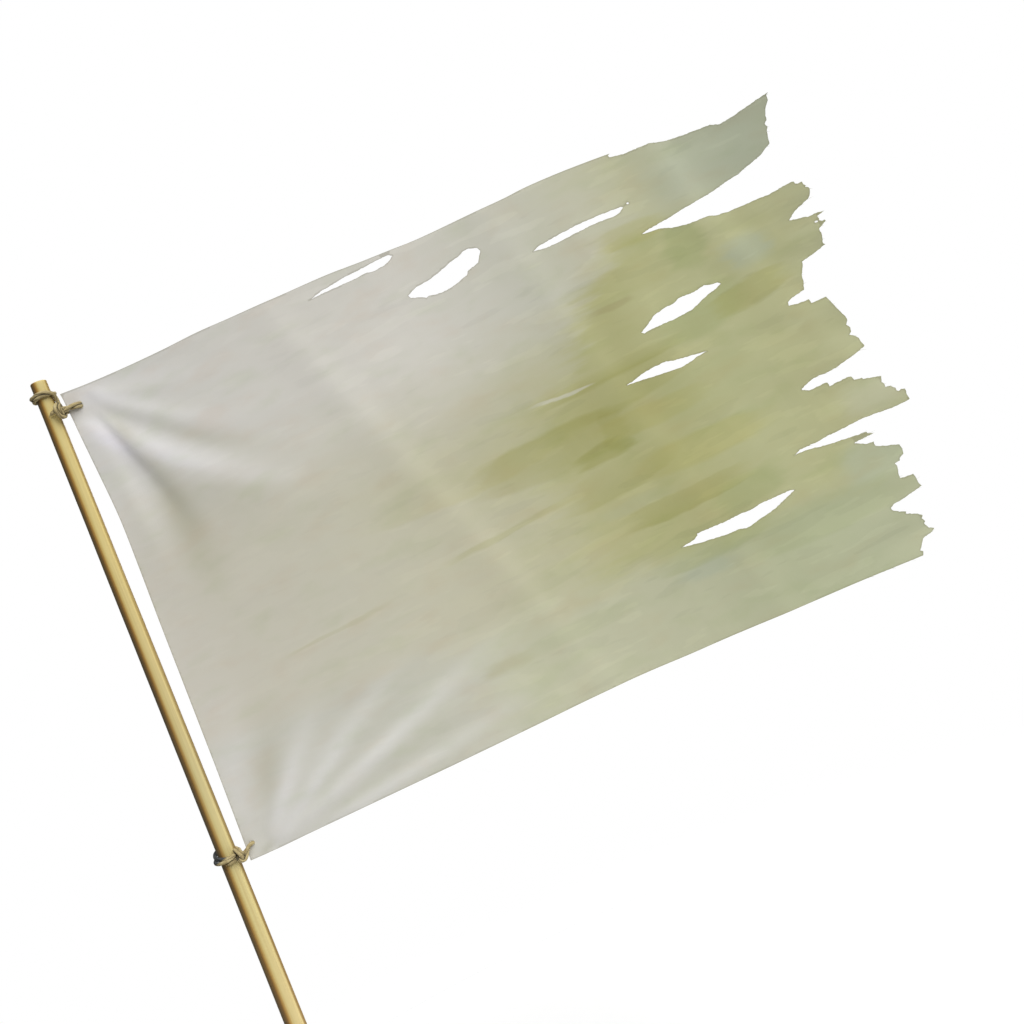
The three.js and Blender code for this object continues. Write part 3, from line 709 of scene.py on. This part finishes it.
def flag_loops():
    """The cloth's outer edge and the edges of its holes, as closed loops of [x, z]."""
    rng = random.Random(TEAR_SEED)
    torn = tear([LOWER_EDGE[-1], *sum(TONGUES, []), UPPER_EDGE[0]], rng)
    outer = np.vstack([spline(LOWER_EDGE, EDGE_STEP)[:-1], torn,
                       spline(UPPER_EDGE, EDGE_STEP)[:-1], spline(HOIST_EDGE, EDGE_STEP)[:-1]])
    holes = [tear(points, rng, closed=True) for points in HOLES]
    holes += [oval(*pinhole) for pinhole in PINHOLES]
    for x, z, radius, slot in (tie["eye"] for tie in TIES.values()):
        reach = radius - TIGHT
        holes.append(oval(x - EYE_SHIFT, z, reach, reach, slot, count=24))
    return [outer, *holes]


def inside(points, loops):
    """Which points lie on the cloth: those from which a ray crosses its edges an odd time."""
    odd = np.zeros(len(points), bool)
    for loop in loops:
        for (x0, z0), (x1, z1) in zip(loop, np.roll(loop, -1, axis=0)):
            spans = (z0 > points[:, 1]) != (z1 > points[:, 1])
            if z0 != z1:
                crossing = x0 + (points[:, 1] - z0) * (x1 - x0) / (z1 - z0)
                odd ^= spans & (points[:, 0] < crossing)
    return odd


def cloth_faces(loops):
    """A flat net of triangles over the cloth: its points, and its faces."""
    rng = random.Random(NET_SEED)
    rows = np.arange(FLAG_Z, FLAG_Z + HOIST, GRID * ROW_GAP)
    inner = np.array([(x + GRID / 2 * (i % 2) + rng.uniform(-GRID_SHIFT, GRID_SHIFT), z)
                      for i, z in enumerate(rows)
                      for x in np.arange(FLAG_X, FLAG_X + FLY, GRID)])
    edge = np.vstack(loops)
    inner = inner[inside(inner, loops)]
    cells = {}
    for x, z in edge:
        cells.setdefault((int(x // GRID), int(z // GRID)), []).append((x, z))
    clear = []
    for x, z in inner:
        i, j = int(x // GRID), int(z // GRID)
        near = [p for a in (-1, 0, 1) for b in (-1, 0, 1) for p in cells.get((i + a, j + b), ())]
        if all(math.hypot(x - a, z - b) > 0.5 * GRID for a, b in near):
            clear.append((x, z))
    edges = []
    start = 0
    for loop in loops:
        count = len(loop)
        edges += [(start + i, start + (i + 1) % count) for i in range(count)]
        start += count
    points, _, faces = delaunay_2d_cdt(
        [Vector(p) for p in [*edge.tolist(), *clear]], edges, [], 0, 1e-5)[:3]
    points = np.array([tuple(p) for p in points])
    faces = np.array(faces)
    return points, faces[inside(points[faces].mean(1), loops)]


def make_flag(material):
    points, faces = cloth_faces(flag_loops())
    depth = fold_depth(points[:, 0], points[:, 1])
    count = len(points)
    front = np.column_stack([points[:, 0], depth - CLOTH / 2, points[:, 1]])
    back = front + (0, CLOTH, 0)
    sides = dict.fromkeys(side for a, b, c in faces for side in ((a, b), (b, c), (c, a)))
    rim = [(b, a, a + count, b + count) for a, b in sides if (b, a) not in sides]
    quads = [tuple(map(int, face)) for face in rim]
    faces = [tuple(map(int, face)) for face in [*faces, *(faces[:, ::-1] + count)]]
    # Painted highlights and painted shade along the folds, which multiply the cloth's colour
    tone = painted_fold_light(points[:, 0], points[:, 1])
    border = sorted({int(i) for face in rim for i in face if i < count})
    edge = np.zeros(count)
    edge[border] = 1
    flag = add_piece("tattered_flag", np.vstack([front, back]), faces + quads, material,
                     "cloth", ["flag"], sharp=55, tone=[*tone, *tone], edge=[*edge, *edge])
    return flag, points[border]


# ---- the ties ---------------------------------------------------------------------------
def pole_radius(z):
    return TOP_RADIUS + (BUTT_RADIUS - TOP_RADIUS) * (1 - z / POLE_LENGTH)


def turn_points(turns):
    """A strand laid round the pole, as [x, y, z]."""
    laid = spline(turns, 4)
    angle = np.radians(laid[:, 0])
    reach = pole_radius(laid[:, 1]) + CORD_GAP + CORD / 2 + laid[:, 2]
    return np.column_stack([reach * np.sin(angle), -reach * np.cos(angle), laid[:, 1]])


def even_steps(points, step):
    """The same line with points at even distances."""
    lengths = np.concatenate([[0], np.cumsum(np.linalg.norm(np.diff(points, axis=0), axis=1))])
    at = np.linspace(0, lengths[-1], max(3, round(lengths[-1] / step)))
    return np.column_stack([np.interp(at, lengths, axis) for axis in points.T]), at


def cord_tube(line, at, rng):
    """A cord of two twisted plies: a tube with two grooves that turn along the line."""
    points, grooves = [], []
    side = np.array([0.0, 0.0, 1.0])
    last = len(line) - 1
    start = rng.uniform(0, math.pi)
    for i, centre in enumerate(line):
        way = line[min(i + 1, last)] - line[max(i - 1, 0)]
        way /= np.linalg.norm(way)
        side = side - way * side.dot(way)
        side /= np.linalg.norm(side)
        across = np.cross(way, side)
        twist = 2 * math.pi * at[i] / PLY_PITCH + start
        end = min(at[i], at[-1] - at[i])
        # Both ends are rounded off, and the cord is a little thick and thin along its run
        radius = CORD_RADIUS * (0.4 + 0.6 * math.sqrt(min(1, end / 1.8)))
        radius *= 1 + 0.06 * noise.noise(Vector(centre) / 5)
        for k in range(CORD_SIDES):
            turn = 2 * math.pi * k / CORD_SIDES
            valley = (1 - abs(math.sin(turn - twist))) ** 2.2
            reach = radius * (1 - GROOVE * valley)
            spoke = math.cos(turn) * side + math.sin(turn) * across
            points.append(centre + spoke * reach)
            grooves.append(valley)
    return points, tube_faces(len(line), CORD_SIDES), grooves


def grime_on(points, own, lines):
    """How much painted shade lies at points of the strand with that number, next to the others
    and the pole.
    """
    off_pole = np.hypot(points[:, 0], points[:, 1]) - pole_radius(points[:, 2])
    grime = smoothstep(off_pole, *SHADE_NEAR_POLE)
    along = np.repeat(lines[own][1], CORD_SIDES)
    for number, (line, at) in enumerate(lines):
        gaps = np.linalg.norm(points[:, None] - line, axis=2)
        if number == own:
            gaps[np.abs(along[:, None] - at) < NEIGHBOUR] = math.inf
        grime = np.maximum(grime, smoothstep(gaps.min(1), *SHADE_NEAR_STRAND))
    return grime


def thin_tube(path, radius):
    """A fibre that thins to a quarter of that radius at its end."""
    points = []
    side = Vector((0.3, 0.5, 0.8))
    last = len(path) - 1
    for i, centre in enumerate(path):
        way = (path[min(i + 1, last)] - path[max(i - 1, 0)]).normalized()
        side = (side - way * side.dot(way)).normalized()
        across = way.cross(side)
        size = radius * (1 - 0.75 * i / last)
        for k in range(THIN_SIDES):
            turn = 2 * math.pi * k / THIN_SIDES
            points.append(centre + (side * math.cos(turn) + across * math.sin(turn)) * size)
    return points, tube_faces(len(path), THIN_SIDES)


def brush(end, way, rng):
    """The frayed fibres at a cord's free end."""
    parts = []
    for _ in range(FIBRES):
        spread = Vector((rng.uniform(-1, 1), rng.uniform(-1, 1), rng.uniform(-1, 1)))
        start = end - way * 1.5 + spread * 0.9
        reach = rng.uniform(*FIBRE_REACH)
        path = [start + way * reach * t + spread * 1.3 * t * t for t in (0, 0.35, 0.7, 1)]
        parts.append(thin_tube(path, FIBRE_RADIUS))
    return parts


def joined(parts):
    """Several [points, faces] as one."""
    points, faces = [], []
    for some, corners in parts:
        faces += [tuple(i + len(points) for i in face) for face in corners]
        points += [tuple(p) for p in some]
    return points, faces


def make_tie(name, tie, material):
    rng = random.Random(name)
    routes = [turn_points(tie["turns"]), *(spline(s, 1.5) for s in tie["strands"])]
    lines = [even_steps(route, CORD_STEP) for route in routes]
    parts, grooves, grime = [], [], []
    for number, (line, at) in enumerate(lines):
        points, faces, groove = cord_tube(line, at, rng)
        parts.append((points, faces))
        grooves += groove
        grime += grime_on(np.array(points), number, lines).tolist()
    free = [Vector(p) for p in tie["strands"][tie["free_end"]][:2]]
    fibres = brush(free[0], (free[0] - free[1]).normalized(), rng)
    parts += fibres
    bare = sum(len(fibre) for fibre, _ in fibres)
    grooves += [0.2] * bare
    grime += [0] * bare
    points, faces = joined(parts)
    x, _, z = np.array(points).T
    # Painted shade on the upper left of the cord, above the tie's given height
    soot = smoothstep(LEFT_SHADE_RISE * (z - tie["soot"]) - x, *LEFT_SHADE) * (1 - smoothstep(x, *LEFT_SHADE_END))
    return add_piece(f"{name}_cord", points, faces, material, "cord", [name], sharp=70,
                     groove=grooves, grime=grime, soot=soot)


# ---- the pole ---------------------------------------------------------------------------
def make_pole(material):
    """A turned pole, a little uneven, with a worn top end and flat butt."""
    count = round(POLE_LENGTH / POLE_STEP)
    profile = [(pole_radius(z), z) for z in
               (i * (POLE_LENGTH - WORN_EDGE) / count for i in range(count + 1))]
    profile += [(TOP_RADIUS - WORN_EDGE * (1 - math.cos(a)),
                 POLE_LENGTH - WORN_EDGE * (1 - math.sin(a)))
                for a in (math.radians(d) for d in (15, 30, 45, 60, 75, 90))]
    profile += [(r, POLE_LENGTH) for r in (5.2, 2.6)]
    points = []
    for radius, z in profile:
        for k in range(POLE_SIDES):
            turn = 2 * math.pi * k / POLE_SIDES
            way = Vector((math.cos(turn), math.sin(turn), 0))
            uneven = UNEVEN * noise.noise(Vector((way.x * 1.3, way.y * 1.3, z / 70)))
            points.append(way * (radius - abs(uneven)) + Vector((0, 0, z)))
    faces = tube_faces(len(profile), POLE_SIDES)
    return add_piece("wooden_pole", points, faces, material, "pole", ["pole"], sharp=50)


# ---- loose threads ----------------------------------------------------------------------
def make_threads(edge_points, material):
    """Broken threads that stand out of the torn fly end."""
    rng = random.Random(THREAD_SEED)
    torn = [p for p in edge_points if p[0] > THREADS_FROM]
    parts = []
    for x, z in rng.sample(torn, THREADS):
        start = Vector((x - 1.0, 0, z))
        start.y = float(fold_depth(np.array([x]), np.array([z]))[0])
        length = rng.uniform(*THREAD_LENGTH) * (2.0 if rng.random() < LONG_SHARE else 1)
        sag = rng.uniform(-0.5, 0.25) * length
        sway = rng.uniform(-0.4, 0.4) * length
        path = [start + Vector((length * t, sway * t * t, sag * t * t))
                for t in (0, 0.25, 0.5, 0.75, 1)]
        parts.append(thin_tube(path, THREAD_RADIUS))
    points, faces = joined(parts)
    limit = cad_box[1].x / MM
    points = [(min(x, limit), y, z) for x, y, z in points]
    count = len(points)
    return add_piece("loose_threads", points, faces, material, "cloth", tone=[1] * count,
                     edge=[0.6] * count)


# ---- floor, light and camera ------------------------------------------------------------
def make_floor():
    """A pale round floor under the pole that fades out before its edge."""
    bpy.ops.mesh.primitive_circle_add(vertices=128, radius=FLOOR_RADIUS, fill_type="NGON",
                                      location=(FLAG_HIGH.x / 2, 0, POLE_LOW.z - 0.0005))
    floor = bpy.context.object
    floor.name = "studio_floor"
    s = Surface("pale_floor", 0.9, Base_Color=(0.9, 0.9, 0.9, 1))
    reach = s.add("ShaderNodeVectorMath", {0: s.place}, operation="LENGTH").outputs["Value"]
    clear = s.add("ShaderNodeBsdfTransparent").outputs[0]
    mixed = s.add("ShaderNodeMixShader", {
        0: s.step(reach, *FLOOR_FADE), 1: s.shader.outputs[0], 2: clear}).outputs[0]
    s.links.new(mixed, s.nodes["Material Output"].inputs["Surface"])
    floor.data.materials.append(s.material)


def add_sun(name, direction, level, softness):
    """A distant light from that direction; a pale face square to it shows at that level."""
    light = bpy.data.lights.new(name, "SUN")
    light.energy = level * math.pi
    light.angle = math.radians(softness)
    lamp = bpy.data.objects.new(name, light)
    lamp.rotation_mode = "QUATERNION"
    lamp.rotation_quaternion = Vector(direction).to_track_quat("Z", "Y")
    bpy.context.scene.collection.objects.link(lamp)


def make_light():
    """A soft key from the right, a weak top light and back light, and a white surround."""
    add_sun("key", (0.40, -0.62, 0.68), 1.0, 60)
    add_sun("top", (0.05, 0.3, 1), 0.25, 60)
    add_sun("back", (0.1, 1, 0.35), 0.5, 40)
    world = bpy.data.worlds.new("white_studio")
    bpy.context.scene.world = world
    world.use_nodes = True
    nodes, links = world.node_tree.nodes, world.node_tree.links
    sky = nodes["Background"]
    sky.inputs["Color"].default_value = (1, 1, 1, 1)
    seen = nodes.new("ShaderNodeLightPath")
    level = nodes.new("ShaderNodeMapRange")
    level.inputs["To Min"].default_value = 0.17     # what lights the object
    level.inputs["To Max"].default_value = 1.0      # what the camera sees
    links.new(seen.outputs["Is Camera Ray"], level.inputs["Value"])
    links.new(level.outputs["Result"], sky.inputs["Strength"])


def make_camera():
    """Looks square at the flag, rolled so that the pole leans left."""
    data = bpy.data.cameras.new("camera")
    data.lens, data.sensor_width = LENS, SENSOR
    data.clip_start, data.clip_end = 0.05, 50
    camera = bpy.data.objects.new("camera", data)
    distance = VIEW_WIDTH * LENS / SENSOR
    right = Vector((math.cos(ROLL), 0, -math.sin(ROLL)))
    up = Vector((math.sin(ROLL), 0, math.cos(ROLL)))
    back = Vector((0, -1, 0))
    turn = Matrix((right, up, back)).transposed().to_4x4()
    camera.matrix_world = Matrix.Translation(AIM + back * distance) @ turn
    bpy.context.scene.collection.objects.link(camera)
    bpy.context.scene.camera = camera


# ---- the whole --------------------------------------------------------------------------
cloth = cloth_material()
flag, edge_points = make_flag(cloth)
threads = make_threads(edge_points, cloth)
make_pole(pole_material())
cord = cord_material()
for tie_name, tie_facts in TIES.items():
    make_tie(tie_name, tie_facts, cord)
make_floor()
make_light()
make_camera()
bpy.context.scene.view_settings.view_transform = "Standard"
